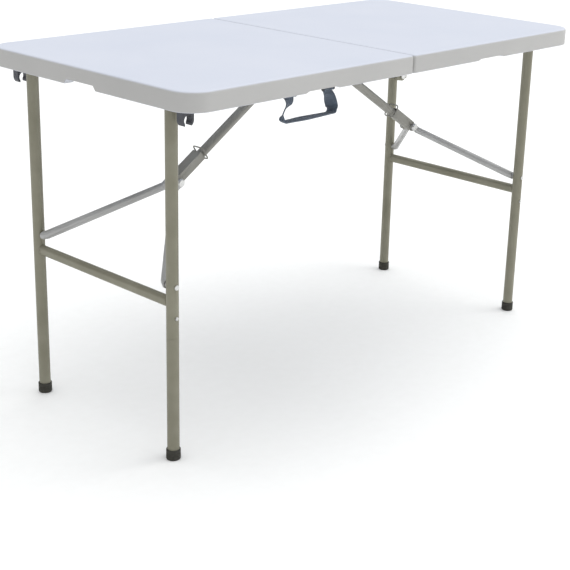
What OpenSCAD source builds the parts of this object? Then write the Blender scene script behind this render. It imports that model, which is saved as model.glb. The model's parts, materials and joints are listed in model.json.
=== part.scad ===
// Folding table with a fold-in-half top, two folding leg frames and push-in lower legs.
// Millimetres. Origin on the floor under the middle of the top, X along the table, front at -Y, Z up.

/* [Top] */
// Length of the open table
table_l = 1220; // [900:5:1500]
// Depth of the table
table_w = 610; // [500:5:760]
// Height of the top surface above the floor
table_h = 740; // [650:1:780]
// Height of the moulded edge
edge_h = 38; // [30:1:50]
// Thickness of the deck inside the edge
deck_t = 14; // [10:1:24]
// Width of the raised rim under the edge
rim_w = 22; // [16:1:30]
// Width of the rim along the fold
fold_rim_w = 16; // [12:1:20]
// Radius of the outer corners
corner_r = 50; // [20:1:90]
// Gap between the two halves
seam_gap = 2; // [1:0.5:4]
// Width of the hand hold in each end
hand_hold_w = 96; // [60:1:140]
// Height of the hand hold
hand_hold_h = 10; // [6:1:14]
// Height of the shallow relief in the long edges
relief_h = 4; // [2:0.5:8]

/* [Frame] */
// Distance of the side rails from the middle line
rail_y = 268; // [240:1:272]
// Width of a side rail
rail_w = 20; // [18:1:26]
// Height of a side rail
rail_h = 28; // [28:1:34]
// Wall of the rails
rail_wall = 1.8; // [1.2:0.1:2.5]
// Distance of the cross rail from the fold
cross_x = 31; // [28:1:60]
// Width and height of the cross rail
cross_w = 24; // [18:1:26]

/* [Fold] */
// Height of the fold axis
fold_z = 694; // [680:1:700]
// Radius of the hinge knuckles
knuckle_r = 11; // [8:0.5:14]
// Diameter of the hinge pin
pin_d = 8; // [6:0.5:10]
// Thickness of a hinge plate
hinge_t = 3.5; // [2:0.1:4]

/* [Legs] */
// Distance of the leg pivots from the fold
leg_x = 568; // [480:1:575]
// Distance of the legs from the middle line
leg_y = 209; // [160:1:230]
// Diameter of the leg tubes
leg_d = 24; // [20:0.5:32]
// Wall of the leg tubes
leg_wall = 1.5; // [1:0.1:2.5]
// Height of the leg pivot axis
pivot_z = 708; // [700:1:712]
// Diameter of the pivot tube
pivot_d = 18; // [14:0.5:20]
// Height where the upper and lower leg meet
joint_z = 255; // [200:1:320]
// Diameter of the reduced end of the lower leg
spigot_d = 19.6; // [16:0.1:20.6]
// Length of the reduced end
spigot_l = 65; // [40:1:90]
// Height of the crossbar centre
crossbar_z = 324; // [280:1:420]
// Height of the crossbar section
crossbar_h = 22; // [16:1:26]
// Thickness of the crossbar section
crossbar_t = 16; // [12:1:20]
// Diameter of the foot
foot_d = 28.4; // [26:0.2:34]
// Height of the foot
foot_h = 22; // [14:1:34]

/* [Brace] */
// Distance of the brace pivot from the fold
bracket_x = 57; // [50:1:70]
// Height of the brace pivot
bracket_z = 687; // [680:1:692]
// Diameter of the brace tube
brace_d = 20; // [16:0.5:22]
// Length of the brace tube between its pivots
brace_l = 384.1; // [340:0.1:420]
// Distance of the arm rivets below the leg pivot
arm_drop = 351; // [300:1:370]
// Length of the saddle over the brace tube
saddle_l = 80; // [50:1:90]
// Width of a brace arm at the brace joint
arm_w = 15; // [10:0.5:18]
// Width of a brace arm at the leg
arm_end_w = 17; // [10:0.5:20]
// Thickness of a brace arm
arm_t = 7; // [5:0.5:9]
// Diameter of the lock ring wire
ring_wire = 3; // [2:0.5:4]

/* [Handle] */
// Distance of the handle centre from the fold
handle_x = 279; // [200:1:400]
// Width across the handle
handle_w = 142; // [110:1:180]
// Width of the strap
strap_w = 25; // [18:1:34]
// Thickness of the strap
strap_t = 3; // [2:0.5:5]
// Drop of the handle below its pivot
handle_drop = 50; // [35:1:60]

/* [Latch clip] */
// Distance of the clips from the middle line
clip_y = 247; // [235:1:248]
// Width of a clip along the pivot tube
clip_w = 16; // [12:1:20]
// Length of a clip along the table
clip_l = 44; // [36:1:56]
// Reach of a clip beyond the pivot tube's axis
clip_out = 14; // [13.5:0.5:18]

/* [Hidden] */
$fn = 48;

left = -1;
right = 1;
front = -1;
rear = 1;

half_l = table_l / 2;
half_w = table_w / 2;
skirt_z = table_h - edge_h;
deck_z = table_h - deck_t;
top_bevel = 4;
inner_corner_r = 8;
fold_corner_r = 6;
relief_x0 = 225;
relief_x1 = 322;
pocket_w = 30;
pocket_top = 710;

rail_x0 = 18;
rail_x1 = half_l - rim_w - 8;
fork_out = rail_w / 2 - rail_wall - 0.2;
fork_in = fork_out - hinge_t;
plug_x0 = rail_x0 + 15;
plug_l = 24;
plug_h = 14;
cap_t = 2.5;
cap_plug_l = 2;
tab_l = 18;
tab_w = 13;
tab_t = 2;
screw_head_d = 9;
screw_head_h = 2.4;
screw_d = 4;
side_tabs = [90, 250, 420, 535];
cross_tabs = [-110, 110];

leg_r = leg_d / 2;
leg_top = 11;
fit = 0.05;
free = 0.3;
rivet_z = pivot_z - arm_drop;
rivet_head_d = 13;
rivet_head_h = 2.2;
rivet_d = pin_d - 2;
rivet_tail_d = 10;
rivet_tail_h = 1.5;
button_z = joint_z + spigot_l - 25;
button_d = 7;
button_out = 2.6;
button_in = 5;

brace_dx = leg_x - bracket_x;
brace_dz = rivet_z - bracket_z;
brace_angle = atan2(-brace_dz, brace_dx);
brace_span = sqrt(brace_dx * brace_dx + brace_dz * brace_dz);
arm_l = brace_span - brace_l;
bracket_plate_t = 2.5;
bracket_r = 10;
bracket_base_t = 2.5;
bracket_head_d = 13;
bracket_head_t = 2;
saddle_t = 2;
saddle_in = brace_d / 2 + 0.4;
saddle_out = saddle_in + saddle_t;
saddle_drop = 7;
arm_end_y = leg_y - leg_r - rivet_head_h - free - 1;
eye_t = 3;
joint_head_d = 19;
arm_flat = 19;
ring_at = saddle_l + 4;
ring_in_w = saddle_out + 0.8;
ring_corner_r = 5;
ring_in_low = brace_d / 2 + 0.5;
ring_in_high = 17;

handle_y = 270;
handle_z = 694;
eye_out_r = 3.4;
eye_hole_r = 1.7;
eye_pin_r = 1.6;
mount_t = 3;
mount_r = 3.4;

// Helpers
module on_side(side) {
  mirror([side < 0 ? 1 : 0, 0, 0])
    children();
}

module at_end(end) {
  mirror([0, end < 0 ? 1 : 0, 0])
    children();
}

module rod_y(d, y0, y1, x, z) {
  translate([x, y0, z])
    rotate([-90, 0, 0])
      cylinder(d = d, h = y1 - y0);
}

module box(x0, x1, y0, y1, z0, z1) {
  translate([x0, y0, z0])
    cube([x1 - x0, y1 - y0, z1 - z0]);
}

// Places children drawn along +X from the brace pivot onto the brace line
module on_brace() {
  translate([bracket_x, 0, bracket_z])
    rotate([0, brace_angle, 0])
      children();
}

// Same frame with its origin at the brace joint
module on_joint() {
  on_brace()
    translate([brace_l, 0, 0])
      children();
}

// Panels
module half_outline(inset, outer_r, seam_r) {
  x0 = seam_gap / 2 + inset;
  x1 = half_l - inset;
  y1 = half_w - inset;
  hull() {
    for (e = [-1, 1]) {
      translate([x1 - outer_r, e * (y1 - outer_r)])
        circle(r = outer_r, $fn = 64);
      translate([x0 + seam_r, e * (y1 - seam_r)])
        circle(r = seam_r, $fn = 24);
    }
  }
}

module recess_outline() {
  x0 = seam_gap / 2 + fold_rim_w;
  x1 = half_l - rim_w;
  y1 = half_w - rim_w;
  hull() {
    for (e = [-1, 1]) {
      translate([x1 - inner_corner_r, e * (y1 - inner_corner_r)])
        circle(r = inner_corner_r, $fn = 48);
      translate([x0, e * y1 - (e > 0 ? 1 : 0)])
        square(1);
    }
  }
}

module hand_hold() {
  slope = 8;
  translate([half_l - rim_w - 1, 0, skirt_z - 1])
    rotate([90, 0, 90])
      linear_extrude(height = rim_w + 2)
        polygon([[-hand_hold_w / 2, 0], [hand_hold_w / 2, 0],
          [hand_hold_w / 2 - slope, hand_hold_h + 1], [-hand_hold_w / 2 + slope, hand_hold_h + 1]]);
}

module edge_relief() {
  slope = 10;
  translate([0, half_w + 1, skirt_z - 1])
    rotate([90, 0, 0])
      linear_extrude(height = rim_w + 2)
        polygon([[relief_x0, 0], [relief_x1, 0], [relief_x1 - slope, relief_h + 1],
          [relief_x0 + slope, relief_h + 1]]);
}

module half_panel() {
  color("WhiteSmoke")
    difference() {
      union() {
        translate([0, 0, skirt_z])
          linear_extrude(height = edge_h - top_bevel)
            half_outline(0, corner_r, fold_corner_r);
        hull() {
          translate([0, 0, table_h - top_bevel])
            linear_extrude(height = 0.01)
              half_outline(0, corner_r, fold_corner_r);
          translate([0, 0, table_h - 1])
            linear_extrude(height = 1)
              half_outline(2.4, corner_r - 2.4, fold_corner_r - 2.4);
        }
      }
      translate([0, 0, skirt_z - 1])
        linear_extrude(height = deck_z - skirt_z + 1)
          recess_outline();
      hand_hold();
      for (e = [front, rear]) {
        at_end(e) {
          edge_relief();
          box(-1, rail_x0 + 1, rail_y - pocket_w / 2, rail_y + pocket_w / 2 - 2, skirt_z - 1, pocket_top);
        }
      }
    }
}

module left_panel() {
  on_side(left)
    half_panel();
}

module right_panel() {
  on_side(right)
    half_panel();
}

// Rails
module screw_tab(x, y, dir_y) {
  difference() {
    box(x - tab_l / 2, x + tab_l / 2, min(y, y + dir_y * tab_w), max(y, y + dir_y * tab_w),
      deck_z - tab_t, deck_z);
    translate([x, y + dir_y * (tab_w - 6), deck_z - tab_t - 1])
      cylinder(d = screw_d + 0.6, h = tab_t + 2);
  }
}

module side_rail() {
  rail_z0 = deck_z - rail_h;
  y_in = rail_y - rail_w / 2;
  y_out = rail_y + rail_w / 2;
  color("DimGray")
    difference() {
      union() {
        difference() {
          box(rail_x0, rail_x1, y_in, y_out, rail_z0, deck_z);
          box(rail_x0 - 1, rail_x1 + 1, y_in + rail_wall, y_out - rail_wall, rail_z0 + rail_wall,
            deck_z - rail_wall);
        }
        for (x = side_tabs) {
          screw_tab(x, y_in, -1);
        }
      }
      rod_y(pivot_d + 2 * fit, y_in - 1, y_out + 1, leg_x, pivot_z);
    }
}

module left_front_side_rail() {
  on_side(left)
    at_end(front)
      side_rail();
}

module left_rear_side_rail() {
  on_side(left)
    at_end(rear)
      side_rail();
}

module right_front_side_rail() {
  on_side(right)
    at_end(front)
      side_rail();
}

module right_rear_side_rail() {
  on_side(right)
    at_end(rear)
      side_rail();
}

module cross_rail() {
  x0 = cross_x - cross_w / 2;
  x1 = cross_x + cross_w / 2;
  y1 = rail_y - rail_w / 2;
  color("DimGray")
    union() {
      difference() {
        box(x0, x1, -y1, y1, deck_z - cross_w, deck_z);
        box(x0 + rail_wall, x1 - rail_wall, -y1 - 1, y1 + 1, deck_z - cross_w + rail_wall,
          deck_z - rail_wall);
      }
      for (y = cross_tabs) {
        difference() {
          box(x1, x1 + tab_w, y - tab_l / 2, y + tab_l / 2, deck_z - tab_t, deck_z);
          translate([x1 + tab_w - 6, y, deck_z - tab_t - 1])
            cylinder(d = screw_d + 0.6, h = tab_t + 2);
        }
      }
    }
}

module left_cross_rail() {
  on_side(left)
    cross_rail();
}

module right_cross_rail() {
  on_side(right)
    cross_rail();
}

module frame_screw(x, y) {
  head_z = deck_z - tab_t - screw_head_h;
  translate([x, y, head_z]) {
    difference() {
      cylinder(d1 = screw_head_d - 2, d2 = screw_head_d, h = screw_head_h);
      box(-3, 3, -0.6, 0.6, -1, 1);
      box(-0.6, 0.6, -3, 3, -1, 1);
    }
    translate([0, 0, screw_head_h])
      cylinder(d = screw_d, h = tab_t);
  }
}

module frame_screws() {
  y_side = rail_y - rail_w / 2 - tab_w + 6;
  color("Silver")
    union() {
      for (x = side_tabs) {
        for (e = [front, rear]) {
          frame_screw(x, e * y_side);
        }
      }
      for (y = cross_tabs) {
        frame_screw(cross_x + cross_w / 2 + tab_w - 6, y);
      }
    }
}

module left_frame_screws() {
  on_side(left)
    frame_screws();
}

module right_frame_screws() {
  on_side(right)
    frame_screws();
}

module rail_end_caps() {
  rail_z0 = deck_z - rail_h;
  color("Black")
    for (e = [front, rear]) {
      at_end(e)
        union() {
          box(rail_x1, rail_x1 + cap_t, rail_y - rail_w / 2, rail_y + rail_w / 2, rail_z0, deck_z);
          box(rail_x1 - cap_plug_l, rail_x1, rail_y - rail_w / 2 + rail_wall + free,
            rail_y + rail_w / 2 - rail_wall - free, rail_z0 + rail_wall + free,
            deck_z - rail_wall - free);
        }
    }
}

module left_rail_end_caps() {
  on_side(left)
    rail_end_caps();
}

module right_rail_end_caps() {
  on_side(right)
    rail_end_caps();
}

// Fold hinges: a two-plate leaf on the left half, a one-plate leaf on the right half
module leaf_plate(y0, y1) {
  rotate([90, 0, 0])
    translate([0, 0, -y1])
      linear_extrude(height = y1 - y0) {
        hull() {
          translate([0, fold_z])
            circle(r = knuckle_r, $fn = 64);
          translate([rail_x0 + 2, fold_z - 5])
            square([14, 10]);
        }
        translate([rail_x0 - 8, fold_z])
          square([14, 12]);
        translate([rail_x0 + 1, fold_z])
          square([plug_l + 16, 22]);
      }
}

module pin_hole(d) {
  rod_y(d, rail_y - 20, rail_y + 20, 0, fold_z);
}

// The solid block of a leaf that is pressed into the end of its rail
module hinge_plug() {
  z0 = deck_z - rail_h + 6;
  box(plug_x0, plug_x0 + plug_l, rail_y - fork_out, rail_y + fork_out, z0, z0 + plug_h);
}

// Keeps the leaves clear of the lower wall of the rail that they plug into
module hinge_rail_clear() {
  rail_z0 = deck_z - rail_h;
  box(rail_x0, rail_x0 + 60, rail_y - rail_w, rail_y + rail_w, rail_z0 - 20, rail_z0 + rail_wall + 0.2);
}

module hinge_fork() {
  color("Gray")
    difference() {
      union() {
        for (y = [rail_y - fork_out, rail_y + fork_in]) {
          leaf_plate(y, y + hinge_t);
        }
        hinge_plug();
      }
      pin_hole(pin_d);
      hinge_rail_clear();
    }
}

module hinge_tongue() {
  half_t = fork_in - free;
  color("Gray")
    difference() {
      union() {
        leaf_plate(rail_y - half_t, rail_y + half_t);
        hinge_plug();
      }
      pin_hole(pin_d + 2 * fit);
      hinge_rail_clear();
    }
}

module front_hinge_left_leaf() {
  on_side(left)
    at_end(front)
      hinge_fork();
}

module rear_hinge_left_leaf() {
  on_side(left)
    at_end(rear)
      hinge_fork();
}

module front_hinge_right_leaf() {
  on_side(right)
    at_end(front)
      hinge_tongue();
}

module rear_hinge_right_leaf() {
  on_side(right)
    at_end(rear)
      hinge_tongue();
}

module hinge_pins() {
  head_d = 14;
  head_t = 3;
  color("Silver")
    for (e = [front, rear]) {
      at_end(e)
        union() {
          rod_y(pin_d, rail_y - fork_out, rail_y + fork_out, 0, fold_z);
          rod_y(head_d, rail_y + fork_out, rail_y + fork_out + head_t, 0, fold_z);
          rod_y(head_d, rail_y - fork_out - head_t, rail_y - fork_out, 0, fold_z);
        }
    }
}

// Brace brackets with their rivet
module brace_bracket() {
  y0 = brace_d / 2 + 0.5;
  x1 = cross_x + cross_w / 2;
  color("DimGray")
    union() {
      for (e = [front, rear]) {
        at_end(e)
          difference() {
            translate([0, y0 + bracket_plate_t, 0])
              rotate([90, 0, 0])
                linear_extrude(height = bracket_plate_t)
                  hull() {
                    translate([bracket_x, bracket_z])
                      circle(r = bracket_r);
                    translate([x1, deck_z - cross_w])
                      square([6, cross_w - 4]);
                  }
            rod_y(pin_d, 0, 20, bracket_x, bracket_z);
          }
      }
      box(x1, x1 + bracket_base_t, -y0 - 12, y0 + 12, deck_z - cross_w + 2, deck_z - 4);
      rod_y(pin_d, -y0 - bracket_plate_t, y0 + bracket_plate_t, bracket_x, bracket_z);
      for (e = [front, rear]) {
        at_end(e)
          rod_y(bracket_head_d, y0 + bracket_plate_t, y0 + bracket_plate_t + bracket_head_t, bracket_x,
            bracket_z);
      }
    }
}

module left_brace_bracket() {
  on_side(left)
    brace_bracket();
}

module right_brace_bracket() {
  on_side(right)
    brace_bracket();
}

// Latch clips on the left half: they hang from the deck and snap over the other pivot tube
module latch_clip() {
  mouth_z = 2 * fold_z - pivot_z;
  jaw_r = pivot_d / 2 + 4.5;
  mouth_r = pivot_d / 2 + 0.5;
  jaw_bottom = mouth_z - mouth_r - 1;
  throat_w = 15;
  block_h = 20;
  foot_w = 26;
  color("Black")
    translate([0, clip_y + clip_w / 2, 0])
      rotate([90, 0, 0])
        linear_extrude(height = clip_w)
          difference() {
            union() {
              translate([leg_x + clip_out - clip_l, pivot_z - block_h / 2])
                square([clip_l, block_h]);
              translate([leg_x - foot_w / 2, pivot_z])
                square([foot_w, deck_z - pivot_z]);
              hull() {
                translate([leg_x, mouth_z])
                  circle(r = jaw_r);
                translate([leg_x - jaw_r, pivot_z - 14])
                  square([2 * jaw_r, 4]);
              }
            }
            translate([leg_x, pivot_z])
              circle(r = pivot_d / 2 + free);
            translate([leg_x, mouth_z])
              circle(r = mouth_r);
            translate([leg_x - throat_w / 2, mouth_z - jaw_r - 1])
              square([throat_w, jaw_r + 1]);
            translate([leg_x - jaw_r - 1, mouth_z - jaw_r - 1])
              square([2 * jaw_r + 2, jaw_bottom - mouth_z + jaw_r + 1]);
          }
}

module front_latch_clip() {
  on_side(left)
    at_end(front)
      latch_clip();
}

module rear_latch_clip() {
  on_side(left)
    at_end(rear)
      latch_clip();
}

// Handle
strap_ends = [-50, 57];

// Two small brackets under the rail, each with a pin through an eye of the strap
module handle_mounts() {
  rail_z0 = deck_z - rail_h;
  ear_x = strap_w / 2 + 0.5;
  color("Black")
    for (dx = strap_ends) {
      translate([-handle_x + dx, -handle_y, 0])
        union() {
          for (x = [-ear_x - mount_t, ear_x]) {
            box(x, x + mount_t, -mount_r, mount_r, handle_z, rail_z0);
            translate([x, 0, handle_z])
              rotate([0, 90, 0])
                cylinder(r = mount_r, h = mount_t);
          }
          translate([-ear_x - mount_t, 0, handle_z])
            rotate([0, 90, 0])
              cylinder(r = eye_pin_r, h = 2 * (ear_x + mount_t));
        }
    }
}

// One strap: two upright ends with an eye each, and a flat run between them
module handle_strap() {
  run_z = handle_z - handle_drop;
  color("DarkSlateGray")
    translate([-handle_x, -handle_y, 0])
      difference() {
        union() {
          for (dx = strap_ends) {
            translate([dx - strap_w / 2, 0, handle_z])
              rotate([0, 90, 0])
                cylinder(r = eye_out_r, h = strap_w);
            box(dx - strap_w / 2, dx + strap_w / 2, -strap_t / 2, strap_t / 2, run_z, handle_z);
          }
          box(-handle_w / 2, handle_w / 2, -strap_w / 2, strap_w / 2, run_z - strap_t / 2,
            run_z + strap_t / 2);
        }
        translate([-handle_w, 0, handle_z])
          rotate([0, 90, 0])
            cylinder(r = eye_hole_r, h = 2 * handle_w);
      }
}

// Leg frames
module pivot_tube() {
  y1 = rail_y + rail_w / 2 - 0.5;
  color("DimGray")
    difference() {
      rod_y(pivot_d, -y1, y1, leg_x, pivot_z);
      rod_y(pivot_d - 2 * leg_wall, -y1 - 1, y1 + 1, leg_x, pivot_z);
    }
}

module left_pivot_tube() {
  on_side(left)
    pivot_tube();
}

module right_pivot_tube() {
  on_side(right)
    pivot_tube();
}

module upper_leg() {
  color("DimGray")
    difference() {
      translate([leg_x, leg_y, joint_z])
        cylinder(d = leg_d, h = pivot_z + leg_top - joint_z);
      translate([leg_x, leg_y, joint_z - 1])
        cylinder(d = leg_d - 2 * leg_wall, h = pivot_z + leg_top - joint_z + 2);
      rod_y(pivot_d, leg_y - leg_d, leg_y + leg_d, leg_x, pivot_z);
      rod_y(button_d + 2 * free, leg_y, leg_y + leg_d, leg_x, button_z);
      rod_y(rivet_d, leg_y - leg_d, leg_y + leg_d, leg_x, rivet_z);
    }
}

module left_front_upper_leg() {
  on_side(left)
    at_end(front)
      upper_leg();
}

module left_rear_upper_leg() {
  on_side(left)
    at_end(rear)
      upper_leg();
}

module right_front_upper_leg() {
  on_side(right)
    at_end(front)
      upper_leg();
}

module right_rear_upper_leg() {
  on_side(right)
    at_end(rear)
      upper_leg();
}

module crossbar() {
  core_h = crossbar_h - crossbar_t;
  color("DimGray")
    difference() {
      hull() {
        for (e = [-1, 1]) {
          rod_y(crossbar_t, -leg_y, leg_y, leg_x, crossbar_z + e * core_h / 2);
        }
      }
      for (e = [-1, 1]) {
        translate([leg_x, e * leg_y, crossbar_z - crossbar_h])
          cylinder(d = leg_d, h = 2 * crossbar_h);
      }
    }
}

module left_crossbar() {
  on_side(left)
    crossbar();
}

module right_crossbar() {
  on_side(right)
    crossbar();
}

module brace_rivets() {
  color("Silver")
    for (e = [front, rear]) {
      at_end(e)
        union() {
          rod_y(rivet_d, leg_y - leg_r - rivet_head_h, leg_y + leg_r + 1, leg_x, rivet_z);
          rod_y(rivet_head_d, leg_y - leg_r - rivet_head_h, leg_y - leg_r, leg_x, rivet_z);
          rod_y(rivet_tail_d, leg_y + leg_r, leg_y + leg_r + rivet_tail_h, leg_x, rivet_z);
        }
    }
}

module left_brace_rivets() {
  on_side(left)
    brace_rivets();
}

module right_brace_rivets() {
  on_side(right)
    brace_rivets();
}

module lower_leg() {
  foot_in = 4;
  r_in = leg_r - leg_wall;
  spigot_r = spigot_d / 2;
  top = joint_z + spigot_l;
  color("DimGray")
    difference() {
      translate([leg_x, leg_y, 0])
        rotate_extrude()
          polygon([[r_in, foot_in], [leg_r, foot_in], [leg_r, joint_z], [spigot_r, joint_z],
            [spigot_r, top - 2], [spigot_r - 0.8, top], [spigot_r - leg_wall, top],
            [spigot_r - leg_wall, joint_z - 6], [r_in, joint_z - 12]]);
      rod_y(button_d + 2 * free, leg_y, leg_y + leg_d, leg_x, button_z);
    }
}

module left_front_lower_leg() {
  on_side(left)
    at_end(front)
      lower_leg();
}

module left_rear_lower_leg() {
  on_side(left)
    at_end(rear)
      lower_leg();
}

module right_front_lower_leg() {
  on_side(right)
    at_end(front)
      lower_leg();
}

module right_rear_lower_leg() {
  on_side(right)
    at_end(rear)
      lower_leg();
}

module foot() {
  foot_r = foot_d / 2;
  color("Black")
    translate([leg_x, leg_y, 0])
      rotate_extrude()
        polygon([[0, 0], [foot_r - 1.5, 0], [foot_r, 1.5], [foot_r, foot_h - 3],
          [foot_r - 1, foot_h], [leg_r, foot_h], [leg_r, 4], [0, 4]]);
}

module left_front_foot() {
  on_side(left)
    at_end(front)
      foot();
}

module left_rear_foot() {
  on_side(left)
    at_end(rear)
      foot();
}

module right_front_foot() {
  on_side(right)
    at_end(front)
      foot();
}

module right_rear_foot() {
  on_side(right)
    at_end(rear)
      foot();
}

// A domed button on its leaf spring inside the spigot
module snap_button() {
  leaf_t = 1;
  leaf_l = 34;
  color("Silver")
    translate([leg_x, leg_y, button_z])
      union() {
        rotate([-90, 0, 0])
          rotate_extrude()
            polygon([[0, button_in], [button_d / 2, button_in], [button_d / 2, leg_r + button_out - 1.2],
              [button_d / 2 - 1.5, leg_r + button_out], [0, leg_r + button_out]]);
        box(-3, 3, button_in - leaf_t, button_in, -leaf_l, 4);
      }
}

module left_front_snap_button() {
  on_side(left)
    at_end(front)
      snap_button();
}

module left_rear_snap_button() {
  on_side(left)
    at_end(rear)
      snap_button();
}

module right_front_snap_button() {
  on_side(right)
    at_end(front)
      snap_button();
}

module right_rear_snap_button() {
  on_side(right)
    at_end(rear)
      snap_button();
}

// Braces
module brace_tube() {
  r = brace_d / 2;
  wall = 1.5;
  hole = pin_d + 2 * fit;
  color("Gray")
    on_brace()
      difference() {
        union() {
          rotate([0, 90, 0])
            cylinder(d = brace_d, h = brace_l);
          for (x = [0, brace_l]) {
            rod_y(brace_d, -r, r, x, 0);
          }
        }
        translate([14, 0, 0])
          rotate([0, 90, 0])
            cylinder(d = brace_d - 2 * wall, h = brace_l - 28);
        for (x = [0, brace_l]) {
          rod_y(hole, -r - 1, r + 1, x, 0);
        }
        brace_end_trim();
      }
}

// Trims the rounded ends to the round section of the tube
module brace_end_trim() {
  r = brace_d / 2;
  for (x = [-r - 1, brace_l - 0.01]) {
    difference() {
      box(x, x + r + 1.01, -r - 1, r + 1, -r - 1, r + 1);
      translate([x - 1, 0, 0])
        rotate([0, 90, 0])
          cylinder(d = brace_d, h = r + 4);
    }
  }
}

module left_brace_tube() {
  on_side(left)
    brace_tube();
}

module right_brace_tube() {
  on_side(right)
    brace_tube();
}

module saddle() {
  ear_r = 11;
  color("Gray")
    on_joint()
      difference() {
        union() {
          for (e = [front, rear]) {
            at_end(e) {
              box(-saddle_l, 0, saddle_in, saddle_out, -saddle_drop, saddle_out);
              rod_y(2 * ear_r, saddle_in, saddle_out, 0, 0);
            }
          }
          box(-saddle_l, 0, -saddle_out, saddle_out, saddle_in, saddle_out);
        }
        rod_y(pin_d, -20, 20, 0, 0);
      }
}

module left_saddle() {
  on_side(left)
    saddle();
}

module right_saddle() {
  on_side(right)
    saddle();
}

// A disc of the arm's thickness, seen from the side
module arm_disc(d, x, y) {
  rod_y(d, y - arm_t / 2, y + arm_t / 2, x, 0);
}

module brace_arm() {
  y0 = saddle_out + arm_t / 2;
  eye_x = arm_l - 6;
  eye_y = arm_end_y - 10;
  color("LightGray")
    on_joint()
      difference() {
        union() {
          hull() {
            arm_disc(arm_w, 0, y0);
            arm_disc(arm_w, arm_flat, y0);
          }
          hull() {
            arm_disc(arm_w, arm_flat, y0);
            arm_disc(arm_end_w, eye_x, eye_y);
          }
          hull() {
            arm_disc(arm_end_w, eye_x, eye_y);
            rod_y(arm_end_w, arm_end_y - eye_t, arm_end_y, arm_l, 0);
          }
        }
        rod_y(pin_d, 0, saddle_out + arm_t + 1, 0, 0);
      }
}

module left_front_brace_arm() {
  on_side(left)
    at_end(front)
      brace_arm();
}

module left_rear_brace_arm() {
  on_side(left)
    at_end(rear)
      brace_arm();
}

module right_front_brace_arm() {
  on_side(right)
    at_end(front)
      brace_arm();
}

module right_rear_brace_arm() {
  on_side(right)
    at_end(rear)
      brace_arm();
}

module brace_joint_pin() {
  y1 = saddle_out + arm_t;
  color("Silver")
    on_joint()
      union() {
        rod_y(pin_d, -y1, y1, 0, 0);
        for (e = [front, rear]) {
          at_end(e)
            translate([0, y1, 0])
              rotate([-90, 0, 0])
                cylinder(d1 = joint_head_d, d2 = joint_head_d - 5, h = 3);
        }
      }
}

module left_brace_joint_pin() {
  on_side(left)
    brace_joint_pin();
}

module right_brace_joint_pin() {
  on_side(right)
    brace_joint_pin();
}

module ring_outline(grow) {
  x = ring_in_w - ring_corner_r;
  offset(r = grow)
    hull() {
      for (e = [-1, 1]) {
        translate([e * x, -ring_in_low + ring_corner_r])
          circle(r = ring_corner_r, $fn = 32);
        translate([e * x, ring_in_high - ring_corner_r])
          circle(r = ring_corner_r, $fn = 32);
      }
    }
}

module lock_ring() {
  color("Silver")
    on_joint()
      translate([-ring_at, 0, 0])
        rotate([90, 0, -90])
          linear_extrude(height = ring_wire)
            difference() {
              ring_outline(ring_wire);
              ring_outline(0);
            }
}

module left_lock_ring() {
  on_side(left)
    lock_ring();
}

module right_lock_ring() {
  on_side(right)
    lock_ring();
}

left_panel();
left_front_side_rail();
left_rear_side_rail();
left_cross_rail();
left_brace_bracket();
left_frame_screws();
left_rail_end_caps();
front_hinge_left_leaf();
rear_hinge_left_leaf();
hinge_pins();
front_latch_clip();
rear_latch_clip();
handle_mounts();
handle_strap();
right_panel();
right_front_side_rail();
right_rear_side_rail();
right_cross_rail();
right_brace_bracket();
right_frame_screws();
right_rail_end_caps();
front_hinge_right_leaf();
rear_hinge_right_leaf();
left_pivot_tube();
left_front_upper_leg();
left_rear_upper_leg();
left_crossbar();
left_brace_rivets();
left_front_lower_leg();
left_rear_lower_leg();
left_front_foot();
left_rear_foot();
left_front_snap_button();
left_rear_snap_button();
right_pivot_tube();
right_front_upper_leg();
right_rear_upper_leg();
right_crossbar();
right_brace_rivets();
right_front_lower_leg();
right_rear_lower_leg();
right_front_foot();
right_rear_foot();
right_front_snap_button();
right_rear_snap_button();
left_brace_tube();
left_lock_ring();
left_saddle();
left_front_brace_arm();
left_rear_brace_arm();
left_brace_joint_pin();
right_brace_tube();
right_lock_ring();
right_saddle();
right_front_brace_arm();
right_rear_brace_arm();
right_brace_joint_pin();
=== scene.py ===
"""Looks of the folding table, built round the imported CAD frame. Metres, Z up, the frame's own axes."""

import json
import math

import bmesh
import bpy
from mathutils import Matrix, Vector


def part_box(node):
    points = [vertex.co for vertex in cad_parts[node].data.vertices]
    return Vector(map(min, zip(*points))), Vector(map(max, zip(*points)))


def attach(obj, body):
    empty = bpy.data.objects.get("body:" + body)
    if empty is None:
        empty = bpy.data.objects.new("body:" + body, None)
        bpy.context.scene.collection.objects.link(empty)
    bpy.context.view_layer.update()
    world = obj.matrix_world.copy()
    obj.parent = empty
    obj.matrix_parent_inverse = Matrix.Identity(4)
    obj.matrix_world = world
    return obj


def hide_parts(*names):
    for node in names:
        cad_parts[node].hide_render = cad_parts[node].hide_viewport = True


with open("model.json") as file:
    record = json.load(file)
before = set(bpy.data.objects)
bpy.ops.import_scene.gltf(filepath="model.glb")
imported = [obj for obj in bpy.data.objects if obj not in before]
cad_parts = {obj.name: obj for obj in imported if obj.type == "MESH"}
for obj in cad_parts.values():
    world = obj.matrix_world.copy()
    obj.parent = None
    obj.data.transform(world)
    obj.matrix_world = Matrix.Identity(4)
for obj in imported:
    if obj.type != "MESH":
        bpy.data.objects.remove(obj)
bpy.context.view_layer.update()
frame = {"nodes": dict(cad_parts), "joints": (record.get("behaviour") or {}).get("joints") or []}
nodes = frame["nodes"]

SIDES = {"left": -1, "right": 1}
ENDS = {"front": -1, "rear": 1}
MM = 0.001

# ---------------------------------------------------------------- materials


def new_material(name):
    """A material with only its Principled shader.

    Returns the material, its nodes, a linker and the shader."""
    m = bpy.data.materials.new(name)
    m.use_nodes = True
    tree = m.node_tree
    shader = tree.nodes["Principled BSDF"]
    return m, tree.nodes, tree.links.new, shader


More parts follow.
